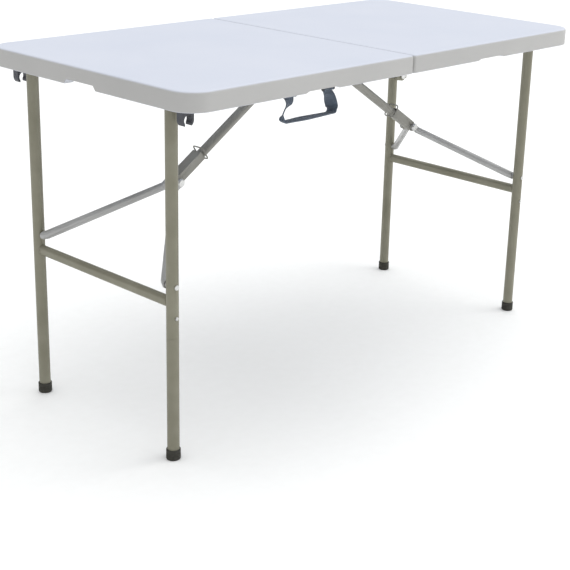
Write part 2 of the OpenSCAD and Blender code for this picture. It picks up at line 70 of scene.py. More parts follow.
def noise(n, link, coords, scale, detail=4.0, roughness=0.55, stretch=(1, 1, 1)):
    """A noise texture on the frame's coordinates. Returns its value socket."""
    mapping = n.new("ShaderNodeMapping")
    mapping.inputs["Scale"].default_value = stretch
    link(coords, mapping.inputs["Vector"])
    tex = n.new("ShaderNodeTexNoise")
    tex.inputs["Scale"].default_value = scale
    tex.inputs["Detail"].default_value = detail
    tex.inputs["Roughness"].default_value = roughness
    link(mapping.outputs["Vector"], tex.inputs["Vector"])
    return tex.outputs["Fac"]


def ramp(n, link, value, stops):
    """A colour ramp through stops of (place, colour). Returns its colour socket."""
    r = n.new("ShaderNodeValToRGB")
    while len(r.color_ramp.elements) < len(stops):
        r.color_ramp.elements.new(0.5)
    for element, (place, colour) in zip(r.color_ramp.elements, stops):
        element.position = place
        element.color = (*colour, 1)
    link(value, r.inputs["Fac"])
    return r.outputs["Color"]


def scaled(n, link, value, low, high):
    """value from 0..1 onto low..high."""
    r = n.new("ShaderNodeMapRange")
    r.inputs["To Min"].default_value = low
    r.inputs["To Max"].default_value = high
    link(value, r.inputs["Value"])
    return r.outputs["Result"]


def mixed(n, link, fac, a, b, mode="MIX"):
    """a and b (sockets or colours) mixed by the socket or number fac."""
    mix = n.new("ShaderNodeMix")
    mix.data_type = "RGBA"
    mix.blend_type = mode
    for value, slot in ((fac, 0), (a, 6), (b, 7)):
        if isinstance(value, (int, float)):
            mix.inputs[slot].default_value = value
        elif isinstance(value, tuple):
            mix.inputs[slot].default_value = (*value, 1)
        else:
            link(value, mix.inputs[slot])
    return mix.outputs[2]


def bump(n, link, height, distance, strength=1.0, normal=None):
    """A bump of height (0..1) times distance in metres, over an earlier one if normal is given."""
    b = n.new("ShaderNodeBump")
    b.inputs["Distance"].default_value = distance
    b.inputs["Strength"].default_value = strength
    link(height, b.inputs["Height"])
    if normal is not None:
        link(normal, b.inputs["Normal"])
    return b.outputs["Normal"]


def object_coords(n):
    return n.new("ShaderNodeTexCoord").outputs["Object"]


def panel_material():
    """Blow-moulded polyethylene: cool white on level faces and painted shade on upright ones, a warmer and
    darker grey standing in for their shade and warm floor bounce; fine pebble grain, slow waves from
    cooling and faint scuffs."""
    m, n, link, bsdf = new_material("moulded_top")
    co = object_coords(n)
    slow = noise(n, link, co, 5.0, 2.0)
    grain = noise(n, link, co, 900.0, 2.0, 0.6)
    scuff = noise(n, link, co, 60.0, 6.0, 0.75, (1, 6, 1))
    # painted shade: level faces get the cool lit tone, upright faces a darker, warmer grey that stands in
    # for their shade and warm floor bounce
    lit_level_tone = ramp(n, link, slow, [(0.3, (0.588, 0.618, 0.7)), (0.7, (0.612, 0.638, 0.715))])
    side = ramp(n, link, slow, [(0.3, (0.468, 0.465, 0.458)), (0.7, (0.492, 0.488, 0.48))])
    parts = n.new("ShaderNodeSeparateXYZ")
    link(n.new("ShaderNodeTexCoord").outputs["Normal"], parts.inputs["Vector"])
    upright = n.new("ShaderNodeMath")
    upright.operation = "ABSOLUTE"
    link(parts.outputs["Z"], upright.inputs[0])
    level = n.new("ShaderNodeMapRange")
    level.inputs["From Min"].default_value = 0.3
    level.inputs["From Max"].default_value = 0.85
    link(upright.outputs[0], level.inputs["Value"])
    # the painted shade goes on by how level the face is, from the object-space normal
    base = mixed(n, link, level.outputs["Result"], side, lit_level_tone)
    marks = ramp(n, link, scuff, [(0.66, (1, 1, 1)), (0.8, (0.955, 0.955, 0.95))])
    link(mixed(n, link, 1.0, base, marks, "MULTIPLY"), bsdf.inputs["Base Color"])
    link(scaled(n, link, grain, 0.5, 0.66), bsdf.inputs["Roughness"])
    waves = bump(n, link, slow, 0.0016, 0.6)
    link(bump(n, link, grain, 0.00016, 0.7, waves), bsdf.inputs["Normal"])
    bsdf.inputs["IOR"].default_value = 1.5
    bsdf.inputs["Specular IOR Level"].default_value = 0.38
    bsdf.inputs["Subsurface Weight"].default_value = 0.04
    bsdf.inputs["Subsurface Radius"].default_value = (0.006, 0.006, 0.006)
    return m


def coat_material(name, dark, light, wear, rough=(0.34, 0.5)):
    """Powder-coated steel: orange-peel surface, cloudy tone, a few rubbed spots."""
    m, n, link, bsdf = new_material(name)
    co = object_coords(n)
    cloud = noise(n, link, co, 14.0, 3.0)
    peel = noise(n, link, co, 700.0, 2.0, 0.5)
    rub = noise(n, link, co, 48.0, 7.0, 0.8)
    base = ramp(n, link, cloud, [(0.3, dark), (0.72, light)])
    rubbed = ramp(n, link, rub, [(0.72, (0, 0, 0)), (0.76, (1, 1, 1))])
    link(mixed(n, link, rubbed, base, wear), bsdf.inputs["Base Color"])
    link(scaled(n, link, peel, *rough), bsdf.inputs["Roughness"])
    bsdf.inputs["Metallic"].default_value = 0.25
    bsdf.inputs["Specular IOR Level"].default_value = 0.5
    link(bump(n, link, peel, 0.00012, 0.8), bsdf.inputs["Normal"])
    return m


def zinc_material():
    """Zinc plate: bright, faintly spangled, brushed round the heads."""
    m, n, link, bsdf = new_material("zinc_plate")
    co = object_coords(n)
    spangle = n.new("ShaderNodeTexVoronoi")
    spangle.inputs["Scale"].default_value = 420.0
    link(co, spangle.inputs["Vector"])
    brushed = noise(n, link, co, 260.0, 5.0, 0.6, (1, 1, 9))
    tone = ramp(n, link, spangle.outputs["Distance"], [(0.0, (0.5, 0.5, 0.49)), (0.8, (0.68, 0.68, 0.67))])
    link(tone, bsdf.inputs["Base Color"])
    link(scaled(n, link, brushed, 0.24, 0.46), bsdf.inputs["Roughness"])
    bsdf.inputs["Metallic"].default_value = 1.0
    link(bump(n, link, brushed, 0.00008, 0.6), bsdf.inputs["Normal"])
    return m


def moulding_material(name, dark, light, rough=(0.42, 0.6)):
    """Dark injection moulding: spark-eroded grain and a little grey dust."""
    m, n, link, bsdf = new_material(name)
    co = object_coords(n)
    grain = noise(n, link, co, 1100.0, 3.0, 0.6)
    dust = noise(n, link, co, 38.0, 5.0, 0.7)
    link(ramp(n, link, dust, [(0.35, dark), (0.8, light)]), bsdf.inputs["Base Color"])
    link(scaled(n, link, grain, *rough), bsdf.inputs["Roughness"])
    bsdf.inputs["Specular IOR Level"].default_value = 0.42
    link(bump(n, link, grain, 0.0001, 0.8), bsdf.inputs["Normal"])
    return m


def webbing_material():
    """Woven webbing: ribs along the strap's own U, threads across its V, fuzzy sheen."""
    m, n, link, bsdf = new_material("slate_webbing")
    uv = n.new("ShaderNodeTexCoord").outputs["UV"]
    waves = []
    for direction, scale in (("X", 34.0), ("Y", 15.0)):
        w = n.new("ShaderNodeTexWave")
        w.bands_direction = direction
        w.inputs["Scale"].default_value = scale
        w.inputs["Distortion"].default_value = 0.3
        link(uv, w.inputs["Vector"])
        waves.append(w.outputs["Fac"])
    weave = n.new("ShaderNodeMath")
    weave.operation = "MULTIPLY"
    link(waves[0], weave.inputs[0])
    link(waves[1], weave.inputs[1])
    fade = noise(n, link, object_coords(n), 70.0, 4.0)
    base = ramp(n, link, weave.outputs[0], [(0.0, (0.06, 0.085, 0.125)), (0.8, (0.155, 0.2, 0.27))])
    worn = ramp(n, link, fade, [(0.4, (1, 1, 1)), (0.8, (1.25, 1.22, 1.18))])
    link(mixed(n, link, 1.0, base, worn, "MULTIPLY"), bsdf.inputs["Base Color"])
    bsdf.inputs["Roughness"].default_value = 0.78
    bsdf.inputs["Sheen Weight"].default_value = 0.3
    bsdf.inputs["Sheen Roughness"].default_value = 0.5
    link(bump(n, link, weave.outputs[0], 0.0004, 0.9), bsdf.inputs["Normal"])
    return m


def floor_material():
    m, n, link, bsdf = new_material("pale_floor")
    grain = noise(n, link, object_coords(n), 40.0, 3.0)
    tone = ramp(n, link, grain, [(0.3, (0.95, 0.95, 0.94)), (0.7, (0.97, 0.97, 0.96))])
    link(tone, bsdf.inputs["Base Color"])
    bsdf.inputs["Roughness"].default_value = 0.9
    return m


TOP = panel_material()
FRAME_COAT = coat_material("olive_grey_coat", (0.21, 0.2, 0.145), (0.265, 0.255, 0.195), (0.36, 0.35, 0.3))
BRACE_COAT = coat_material("light_grey_coat", (0.235, 0.228, 0.2), (0.3, 0.293, 0.268), (0.42, 0.41, 0.39))
ARM_COAT = coat_material(
    "pale_grey_coat", (0.4, 0.4, 0.395), (0.47, 0.47, 0.465), (0.56, 0.56, 0.55), (0.28, 0.42)
)
ZINC = zinc_material()
BLACK = moulding_material("black_moulding", (0.022, 0.022, 0.022), (0.045, 0.044, 0.04))
CLIP_PLASTIC = moulding_material("slate_moulding", (0.055, 0.058, 0.07), (0.085, 0.088, 0.1))
FOOT_RUBBER = moulding_material("foot_rubber", (0.03, 0.029, 0.024), (0.06, 0.057, 0.045), (0.6, 0.8))
WEBBING = webbing_material()

# ---------------------------------------------------------------- mesh helpers

TINY = 1e-7
WELD_GAP = 1e-5
HARD_ANGLE = math.radians(32.0)


def make_object(name, bm, material, smooth_deg=35.0):
    """An object from bm, with smooth faces and edges sharper than smooth_deg kept hard."""
    mesh = bpy.data.meshes.new(name)
    bmesh.ops.recalc_face_normals(bm, faces=bm.faces)
    bm.to_mesh(mesh)
    bm.free()
    shade(mesh, smooth_deg)
    mesh.materials.append(material)
    o = bpy.data.objects.new(name, mesh)
    bpy.context.scene.collection.objects.link(o)
    return o


def shade(mesh, degrees):
    mesh.polygons.foreach_set("use_smooth", [True] * len(mesh.polygons))
    mesh.set_sharp_from_angle(angle=math.radians(degrees))


def apply_modifiers(o):
    """Bakes an object's modifiers into its mesh."""
    dg = bpy.context.evaluated_depsgraph_get()
    done = bpy.data.meshes.new_from_object(o.evaluated_get(dg), depsgraph=dg)
    o.modifiers.clear()
    old = o.data
    o.data = done
    bpy.data.meshes.remove(old)


def loft(bm, rings, caps=True):
    """Joins rings of the same number of points into a skin, with n-gon caps on its two ends."""
    rows = [[bm.verts.new(p) for p in ring] for ring in rings]
    count = len(rows[0])
    for a, b in zip(rows, rows[1:]):
        for i in range(count):
            j = (i + 1) % count
            bm.faces.new((a[i], a[j], b[j], b[i]))
    if caps:
        bm.faces.new(list(reversed(rows[0])))
        bm.faces.new(rows[-1])
    return rows


def smooth_step(t):
    t = min(1.0, max(0.0, t))
    return t * t * (3 - 2 * t)


def arc(cx, cy, r, a0, a1, steps):
    """Points of an arc, in degrees, both ends included."""
    out = []
    for i in range(steps + 1):
        a = math.radians(a0 + (a1 - a0) * i / steps)
        out.append((cx + r * math.cos(a), cy + r * math.sin(a)))
    return out


def lathe(bm, profile, place, steps):
    """Turns a profile of (radius, height) round the Z axis, then moves it by the matrix place.

    Points at radius 0 become poles."""
    rows = []
    for r, h in profile:
        if r < TINY:
            rows.append([bm.verts.new(place @ Vector((0, 0, h)))])
            continue
        row = []
        for i in range(steps):
            a = 2 * math.pi * i / steps
            row.append(bm.verts.new(place @ Vector((r * math.cos(a), r * math.sin(a), h))))
        rows.append(row)
    for a, b in zip(rows, rows[1:]):
        for i in range(steps):
            j = (i + 1) % steps
            if len(a) == 1:
                bm.faces.new((a[0], b[i], b[j]))
            elif len(b) == 1:
                bm.faces.new((a[i], a[j], b[0]))
            else:
                bm.faces.new((a[i], a[j], b[j], b[i]))


def toward(axis, point):
    """A matrix that takes +Z to axis and the origin to point."""
    turn = Vector(axis).to_track_quat("Z", "Y").to_matrix().to_4x4()
    return Matrix.Translation(Vector(point)) @ turn


def wire_loop(bm, points, radii, steps, flat_axis):
    """A round bar along a closed loop of points. radii is one number or one per point."""
    count = len(points)
    if not isinstance(radii, (list, tuple)):
        radii = [radii] * count
    rings = []
    for k, p in enumerate(points):
        tangent = (points[(k + 1) % count] - points[k - 1]).normalized()
        side = tangent.cross(flat_axis).normalized()
        up = side.cross(tangent).normalized()
        ring = []
        for i in range(steps):
            a = 2 * math.pi * i / steps
            ring.append(p + side * (radii[k] * math.cos(a)) + up * (radii[k] * math.sin(a)))
        rings.append(ring)
    rings.append(rings[0])
    rows = loft(bm, rings, caps=False)
    bmesh.ops.remove_doubles(bm, verts=rows[0] + rows[-1], dist=TINY)


def soften(node, width, segments=2):
    """Rounds the hard edges of a CAD node with modifiers, which leave its own mesh as it is."""
    o = nodes[node]
    weld = o.modifiers.new("weld", "WELD")
    weld.merge_threshold = WELD_GAP
    bevel = o.modifiers.new("round", "BEVEL")
    bevel.width = width
    bevel.segments = segments
    bevel.limit_method = "ANGLE"
    bevel.angle_limit = HARD_ANGLE
    bevel.use_clamp_overlap = True
    weighted = o.modifiers.new("normals", "WEIGHTED_NORMAL")
    weighted.keep_sharp = False


def paint(node, material):
    """Gives a CAD node its material."""
    mesh = nodes[node].data
    mesh.materials.clear()
    mesh.materials.append(material)


def joint(name):
    """A joint of the record by its name."""
    return next(j for j in frame["joints"] if j["name"] == name)


def middle(node):
    lo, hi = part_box(node)
    return (lo + hi) / 2


# ---------------------------------------------------------------- camera, light and floor

CAMERA_PLACE = Vector((-1.981, -1.853, 1.180))
CAMERA_AZIMUTH = math.radians(-138.69)
CAMERA_ELEVATION = math.radians(18.01)
CAMERA_ROLL = math.radians(2.09)
CAMERA_LENS = 78.17
CAMERA_SHIFT = (-0.092, -0.100)
FLOOR_HALF = 40.0


def make_camera():
    data = bpy.data.cameras.new("camera")
    data.lens = CAMERA_LENS
    data.sensor_width = 36.0
    data.shift_x, data.shift_y = CAMERA_SHIFT
    data.clip_end = 100.0
    cam = bpy.data.objects.new("camera", data)
    bpy.context.scene.collection.objects.link(cam)
    level = math.cos(CAMERA_ELEVATION)
    back_x = level * math.cos(CAMERA_AZIMUTH)
    back_y = level * math.sin(CAMERA_AZIMUTH)
    back = Vector((back_x, back_y, math.sin(CAMERA_ELEVATION)))
    right = (-back).cross(Vector((0, 0, 1))).normalized()
    up = back.cross(right)
    c, s = math.cos(CAMERA_ROLL), math.sin(CAMERA_ROLL)
    turned_right = right * c + up * s
    turned_up = up * c - right * s
    axes = Matrix((turned_right, turned_up, back)).transposed()
    cam.matrix_world = Matrix.Translation(CAMERA_PLACE) @ axes.to_4x4()
    bpy.context.scene.camera = cam


def area_light(name, place, target, size, watts, colour):
    data = bpy.data.lights.new(name, "AREA")
    data.shape = "RECTANGLE"
    data.size, data.size_y = size
    data.energy = watts
    data.color = colour
    o = bpy.data.objects.new(name, data)
    bpy.context.scene.collection.objects.link(o)
    o.matrix_world = toward(Vector(place) - Vector(target), place)


def sky_light(name, direction, spread_deg, strength, colour):
    """A very wide, even light from one direction, like a lit studio ceiling."""
    data = bpy.data.lights.new(name, "SUN")
    data.angle = math.radians(spread_deg)
    data.energy = strength
    data.color = colour
    o = bpy.data.objects.new(name, data)
    bpy.context.scene.collection.objects.link(o)
    o.matrix_world = toward(direction, (0, 0, 3))


def make_stage():
    bpy.context.scene.view_settings.view_transform = "Standard"
    world = bpy.data.worlds.new("studio")
    world.use_nodes = True
    background = world.node_tree.nodes["Background"]
    background.inputs["Color"].default_value = (1.0, 1.0, 1.0, 1)
    background.inputs["Strength"].default_value = 0.42
    bpy.context.scene.world = world
    sky_light("ceiling", direction=(0.2, -0.05, 1), spread_deg=90, strength=2.6, colour=(0.97, 0.985, 1.0))
    area_light(
        "window",
        place=(3.4, -2.4, 1.6),
        target=(0.5, 0, 0.5),
        size=(2.0, 1.8),
        watts=26,
        colour=(1.0, 0.99, 0.97),
    )
    bm = bmesh.new()
    bmesh.ops.create_grid(bm, x_segments=8, y_segments=8, size=FLOOR_HALF)
    floor = make_object("floor", bm, floor_material())


# ---------------------------------------------------------------- the moulded top

CORNER_R = 50 * MM
CORNER_STEPS = 14
SEAM_R = 6 * MM
SEAM_R_MIN = 0.4 * MM
SMALL_STEPS = 5
TOP_EDGE_R, TOP_EDGE_STEPS = 5 * MM, 8
TOP_FLAT_IN = 6 * MM
SKIRT_FOOT_R = 2.2 * MM
SKIRT_LOW, SKIRT_HIGH = 10 * MM, 4 * MM
DIMPLE_PITCH = 28 * MM
DIMPLE_L = 21 * MM
DIMPLE_W = 8.5 * MM
DIMPLE_DEPTH = 8.5 * MM
DIMPLE_LEAN = 0.18
DIMPLE_REACH, DIMPLE_FADE = 1.25, 0.75
DIMPLE_MARGIN = 12 * MM
GRID = 3.2 * MM
RIM = 22 * MM
FOLD_RIM = 16 * MM
LIP_R, LIP_RISE, LIP_BELOW = 2.5 * MM, 3 * MM, 6 * MM
HOLD_HALF, HOLD_SLOPE, HOLD_H, HOLD_R = 48 * MM, 8 * MM, 10 * MM, 3 * MM
RELIEF_X0, RELIEF_X1, RELIEF_SLOPE, RELIEF_H, RELIEF_R = 225 * MM, 322 * MM, 10 * MM, 4 * MM, 2 * MM
POCKET_TOP, POCKET_R = 710 * MM, 5 * MM
POCKET_IN, POCKET_OUT = 4 * MM, 2 * MM
OVER = 4 * MM


def outline(x0, x1, half_w, r_out, r_seam):
    """A half top seen from above, from the seam at x0 to the outer end at x1, anticlockwise."""
    pts = []
    pts += arc(x1 - r_out, -half_w + r_out, r_out, -90, 0, CORNER_STEPS)
    pts += arc(x1 - r_out, half_w - r_out, r_out, 0, 90, CORNER_STEPS)
    pts += arc(x0 + r_seam, half_w - r_seam, r_seam, 90, 180, SMALL_STEPS)
    pts += arc(x0 + r_seam, -half_w + r_seam, r_seam, 180, 270, SMALL_STEPS)
    return pts


def skirt_sections(z0, z1):
    """(inset, height) of the outer form from its foot to the flat of the top."""
    sections = []
    for i in range(SMALL_STEPS + 1):
        a = math.radians(90 * i / SMALL_STEPS)
        sections.append((SKIRT_FOOT_R * (1 - math.sin(a)), z0 + SKIRT_FOOT_R * (1 - math.cos(a))))
    sections.append((0.0, z0 + SKIRT_LOW))
    sections.append((0.0, z1 - TOP_EDGE_R - SKIRT_HIGH))
    for i in range(TOP_EDGE_STEPS + 1):
        a = math.radians(90 * i / TOP_EDGE_STEPS)
        sections.append((TOP_EDGE_R * (1 - math.cos(a)), z1 - TOP_EDGE_R + TOP_EDGE_R * math.sin(a)))
    sections.append((TOP_EDGE_R + TOP_FLAT_IN, z1))
    return sections


def panel_body(x0, x1, half_w, z0, z1):
    """The outer form of a half: a soft upper edge, an upright skirt and a rounded lower edge."""
    bm = bmesh.new()
    rings = []
    for inset, z in skirt_sections(z0, z1):
        r_seam = max(SEAM_R - inset, SEAM_R_MIN)
        pts = outline(x0 + inset, x1 - inset, half_w - inset, CORNER_R - inset, r_seam)
        rings.append([Vector((x, y, z)) for x, y in pts])
    loft(bm, rings)
    return bm


def dimple_height(x, y, x0, y0):
    """Depth 0..1 of the staggered oval dimples at a point of the underside."""
    col = math.floor((x - x0) / DIMPLE_PITCH)
    depth = 0.0
    for c in (col - 1, col, col + 1):
        shift = 0.5 * DIMPLE_PITCH if c % 2 else 0.0
        row = math.floor((y - y0 - shift) / DIMPLE_PITCH)
        for r in (row, row + 1):
            if (r + (c // 2)) % 2:
                continue
            cx = x0 + (c + 0.5) * DIMPLE_PITCH
            cy = y0 + shift + r * DIMPLE_PITCH
            lean = DIMPLE_LEAN if (c // 2) % 2 else -DIMPLE_LEAN
            dx, dy = x - cx, y - cy
            along = abs(dx * math.cos(lean) + dy * math.sin(lean))
            across = abs(-dx * math.sin(lean) + dy * math.cos(lean))
            straight = max(0.0, along - (DIMPLE_L - DIMPLE_W) / 2)
            d = math.hypot(straight, across) / (DIMPLE_W / 2)
            if d < DIMPLE_REACH:
                depth = max(depth, smooth_step((DIMPLE_REACH - d) / DIMPLE_FADE))
    return depth


def dimpled_ceiling(bm, x0, x1, half_w, deck_z):
    """A grid with the dimples pressed up into it. Returns its border, anticlockwise."""
    nx = round((x1 - x0) / GRID)
    ny = round(2 * half_w / GRID)
    xs = [x0 + (x1 - x0) * i / nx for i in range(nx + 1)]
    ys = [-half_w + 2 * half_w * j / ny for j in range(ny + 1)]
    top = []
    for y in ys:
        row = []
        for x in xs:
            edge = min(x - x0, x1 - x, y + half_w, half_w - y)
            depth = dimple_height(x, y, x0, -half_w) if edge > DIMPLE_MARGIN else 0.0
            row.append(bm.verts.new((x, y, deck_z + depth * DIMPLE_DEPTH)))
        top.append(row)
    for j in range(ny):
        for i in range(nx):
            bm.faces.new((top[j][i], top[j][i + 1], top[j + 1][i + 1], top[j + 1][i]))
    border = top[0][:-1] + [row[-1] for row in top[:-1]]
    border += list(reversed(top[-1][1:])) + [row[0] for row in reversed(top[1:])]
    return border


def recess_cutter(x0, x1, half_w, z0, deck_z):
    """The hollow under a half, with its dimpled ceiling and a flared lip. Cut out of the body."""
    bm = bmesh.new()
    border = dimpled_ceiling(bm, x0, x1, half_w, deck_z)
    levels = [(0.0, z0 + LIP_R + LIP_RISE)]
    for i in range(1, SMALL_STEPS + 1):
        a = math.radians(90 * i / SMALL_STEPS)
        levels.append((LIP_R * (1 - math.cos(a)), z0 + LIP_R * (1 - math.sin(a))))
    levels.append((LIP_R, z0 - LIP_BELOW))
    cx, span_x = (x0 + x1) / 2, (x1 - x0) / 2
    previous = border
    for grow, z in levels:
        kx = 1 + grow / span_x
        ky = 1 + grow / half_w
        ring = [bm.verts.new((cx + (v.co.x - cx) * kx, v.co.y * ky, z)) for v in border]
        for i in range(len(border)):
            j = (i + 1) % len(border)
            bm.faces.new((previous[i], previous[j], ring[j], ring[i]))
        previous = ring
    bm.faces.new(previous)
    return bm


def prism_y(bm, outline_xz, y0, y1):
    """A prism along Y of an outline in X and Z."""
    loft(bm, [[Vector((x, y, z)) for x, z in outline_xz] for y in (y0, y1)])


def prism_x(bm, outline_yz, x0, x1):
    """A prism along X of an outline in Y and Z."""
    loft(bm, [[Vector((x, y, z)) for y, z in outline_yz] for x in (x0, x1)])


def notch_outline(half, slope, height, z0, r):
    """A wide notch with sloping sides and rounded upper corners, open at the bottom, about 0."""
    run = slope / height
    steep = math.degrees(math.atan2(height, slope))
    corner_x = -half + slope + r * math.tan(math.radians(steep / 2))
    pts = [(-half - OVER * run, z0 - OVER)]
    pts += arc(corner_x, z0 + height - r, r, 90 + steep, 90, SMALL_STEPS)
    mirrored = [(-x, z) for x, z in reversed(pts)]
    return pts + mirrored


def pocket_outline(x0, x1, z0, z1):
    pts = [(x0, z0), (x1, z0)]
    pts += arc(x1 - POCKET_R, z1 - POCKET_R, POCKET_R, 0, 90, SMALL_STEPS)
    pts += [(x0, z1)]
    return pts


def hold_cutter(x1, z0):
    """The shallow hand hold in the lower edge of the outer end."""
    bm = bmesh.new()
    prism_x(bm, notch_outline(HOLD_HALF, HOLD_SLOPE, HOLD_H, z0, HOLD_R), x1 - RIM - OVER, x1 + OVER)
    return make_object("cut_hold", bm, TOP)


def relief_cutter(e, half_w, z0):
    """The long shallow step in the lower edge of a long side."""
    bm = bmesh.new()
    centre = (RELIEF_X0 + RELIEF_X1) / 2
    notch = notch_outline((RELIEF_X1 - RELIEF_X0) / 2, RELIEF_SLOPE, RELIEF_H, z0, RELIEF_R)
    prism_y(bm, [(x + centre, z) for x, z in notch], e * (half_w - RIM - OVER), e * (half_w + OVER))
    return make_object("cut_relief", bm, TOP)


def pocket_cutter(e, x0, z0, rail_lo, rail_hi):
    """The gap in the fold rim that the rail and its hinge pass through."""
    bm = bmesh.new()
    shape = pocket_outline(-OVER, x0 + FOLD_RIM + OVER, z0 - OVER, POCKET_TOP)
    prism_y(bm, shape, e * (rail_lo.y - POCKET_IN), e * (rail_hi.y + POCKET_OUT))
    return make_object("cut_pocket", bm, TOP)


def cut_away(body, cutters):
    """Cuts the cutters out of body and deletes them."""
    for cutter in cutters:
        cut = body.modifiers.new("cut", "BOOLEAN")
        cut.object = cutter
        cut.operation = "DIFFERENCE"
        cut.solver = "EXACT"
    bpy.context.view_layer.update()
    apply_modifiers(body)
    for cutter in cutters:
        bpy.data.objects.remove(cutter)


def make_panel(side):
    """One half of the top, built for the right half and mirrored for the left."""
    lo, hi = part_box(side + "_panel")
    x1 = max(abs(lo.x), abs(hi.x))
    x0 = min(abs(lo.x), abs(hi.x))
    half_w, z0, z1 = hi.y, lo.z, hi.z
    rail_lo, rail_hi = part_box("right_rear_side_rail")
    recess = recess_cutter(x0 + FOLD_RIM, x1 - RIM, half_w - RIM, z0, rail_hi.z)
    body = make_object(side + "_top", panel_body(x0, x1, half_w, z0, z1), TOP)
    cutters = [make_object("cut_recess", recess, TOP), hold_cutter(x1, z0)]
    for e in ENDS.values():
        cutters.append(relief_cutter(e, half_w, z0))
        cutters.append(pocket_cutter(e, x0, z0, rail_lo, rail_hi))
    cut_away(body, cutters)
    if SIDES[side] < 0:
        body.data.transform(Matrix.Diagonal((-1, 1, 1, 1)))
        body.data.flip_normals()
    shade(body.data, 40.0)
    body.data.materials.clear()
    body.data.materials.append(TOP)
    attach(body, side + "_half")
    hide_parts(side + "_panel")


# ---------------------------------------------------------------- legs and frames


BEAD_STEPS = 56
BEAD_R, BEAD_RIPPLE, BEAD_RIPPLES = 1.5 * MM, 0.3 * MM, 14
BEAD_WANDER, BEAD_WANDERS = 0.25 * MM, 9
BEAD_LIFT, BEAD_LIFTS = 0.3 * MM, 7
PIVOT_WELD_IN, PIVOT_WELD_R = 12.2 * MM, 9.3 * MM
CROSSBAR_WELD_IN, CROSSBAR_WELD_R, CROSSBAR_SQUASH = 11.6 * MM, 9.6 * MM, 0.8


def weld_bead(name, centre, axis, radius, body, squash=1.0):
    """A rippled weld bead round a tube end: a wavy ring about axis."""
    bm = bmesh.new()
    place = toward(axis, centre)
    points, radii = [], []
    for i in range(BEAD_STEPS):
        a = 2 * math.pi * i / BEAD_STEPS
        r = radius + BEAD_WANDER * math.sin(BEAD_WANDERS * a)
        lift = BEAD_LIFT * math.sin(BEAD_LIFTS * a)
        points.append(place @ Vector((r * math.cos(a) * squash, r * math.sin(a), lift)))
        radii.append(BEAD_R + BEAD_RIPPLE * math.sin(BEAD_RIPPLES * a))
    wire_loop(bm, points, radii, 8, Vector(axis))
    o = make_object(name, bm, FRAME_COAT, 60)
    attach(o, body)


TREAD_R = 2.2 * MM
TREAD_HOLLOW = 1.2 * MM
GROOVES = 3
GROOVE_HALF, GROOVE_FLOOR_HALF, GROOVE_DEPTH = 1.0 * MM, 0.4 * MM, 0.7 * MM


def foot_profile(r, h, r_leg):
    """(radius, height) from the middle of the tread, up the outside, over the lip and in to the leg."""
    profile = [(0, TREAD_HOLLOW), (r * 0.45, TREAD_HOLLOW), (r * 0.55, 0)]
    for degrees in (0, 20, 45, 70, 90):
        a = math.radians(degrees)
        profile.append((r - TREAD_R + TREAD_R * math.sin(a), TREAD_R * (1 - math.cos(a))))
    for k in range(GROOVES):
        z = h * (0.32 + 0.17 * k)
        profile += [(r, z - GROOVE_HALF), (r - GROOVE_DEPTH, z - GROOVE_FLOOR_HALF)]
        profile += [(r - GROOVE_DEPTH, z + GROOVE_FLOOR_HALF), (r, z + GROOVE_HALF)]
    profile += [(r, h - 1.8 * MM), (r - 0.4 * MM, h - 0.6 * MM), (r - 1.2 * MM, h)]
    profile += [(r_leg + 0.3 * MM, h - 0.3 * MM), (r_leg + 0.05 * MM, h - 1.2 * MM)]
    profile += [(r_leg + 0.05 * MM, h - 3 * MM), (0, h - 3 * MM)]
    return profile


def make_foot(side, end):
    """A rubber cap: rounded tread, three shallow grooves and a rolled upper lip."""
    node = f"{side}_{end}_foot"
    lo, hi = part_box(node)
    centre = middle(node)
    leg_lo, leg_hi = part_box(f"{side}_{end}_lower_leg")
    profile = foot_profile((hi.x - lo.x) / 2, hi.z - lo.z, (leg_hi.x - leg_lo.x) / 2)
    bm = bmesh.new()
    lathe(bm, profile, Matrix.Translation((centre.x, centre.y, lo.z)), 56)
    o = make_object(f"{side}_{end}_foot_cap", bm, FOOT_RUBBER, 50)
    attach(o, side + "_leg_frame")
    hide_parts(node)


RING_CORNER_R = 6 * MM


def rounded_loop(half, bottom, top, r):
    """Points of a rectangle about 0 with round corners, anticlockwise from its right-hand side."""
    shape = arc(half - r, top - r, r, 0, 90, 8)
    shape += arc(-half + r, top - r, r, 90, 180, 8)
    shape += arc(-half + r, bottom + r, r, 180, 270, 8)
    shape += arc(half - r, bottom + r, r, 270, 360, 8)
    return shape


def make_ring(side):
    """The lock ring: one round wire bent to a closed loop with round corners, about the ring's own axis."""
    node = side + "_lock_ring"
    centre = middle(node)
    along = Vector(joint(side + "_ring_slide")["axis"]).normalized()
    across = Vector((0, 1, 0))
    high = along.cross(across).normalized()
    if high.z < 0:
        high = -high
    offsets = [v.co - centre for v in nodes[node].data.vertices]
    heights = [p.dot(high) for p in offsets]
    widths = [p.dot(across) for p in offsets]
    depths = [p.dot(along) for p in offsets]
    wire = (max(depths) - min(depths)) / 2
    mid = centre + along * (max(depths) + min(depths)) / 2
    shape = rounded_loop(max(widths) - wire, min(heights) + wire, max(heights) - wire, RING_CORNER_R)
    points = [mid + across * a + high * b for a, b in shape]
    bm = bmesh.new()
    wire_loop(bm, points, wire, 14, along)
    o = make_object(side + "_ring_wire", bm, BRACE_COAT, 60)
    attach(o, side + "_ring")
    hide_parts(node)


# ---------------------------------------------------------------- handle


STRAP_W = 25 * MM
STRAP_THIN, STRAP_THICK = 1.6 * MM, 2.6 * MM
STRAP_BEND_R = 6 * MM
STRAP_RUN_UP = 2.9 * MM
STRAP_NARROWING = 0.42
STRAP_TILT = math.radians(-7)
EYE_LEFT, EYE_RIGHT = 50 * MM, 57 * MM
EYE_WRAP_DEG, EYE_GAP = 280, 0.05 * MM
WRAP_STEPS, DROP_STEPS, BEND_STEPS, RUN_STEPS = 16, 28, 8, 12


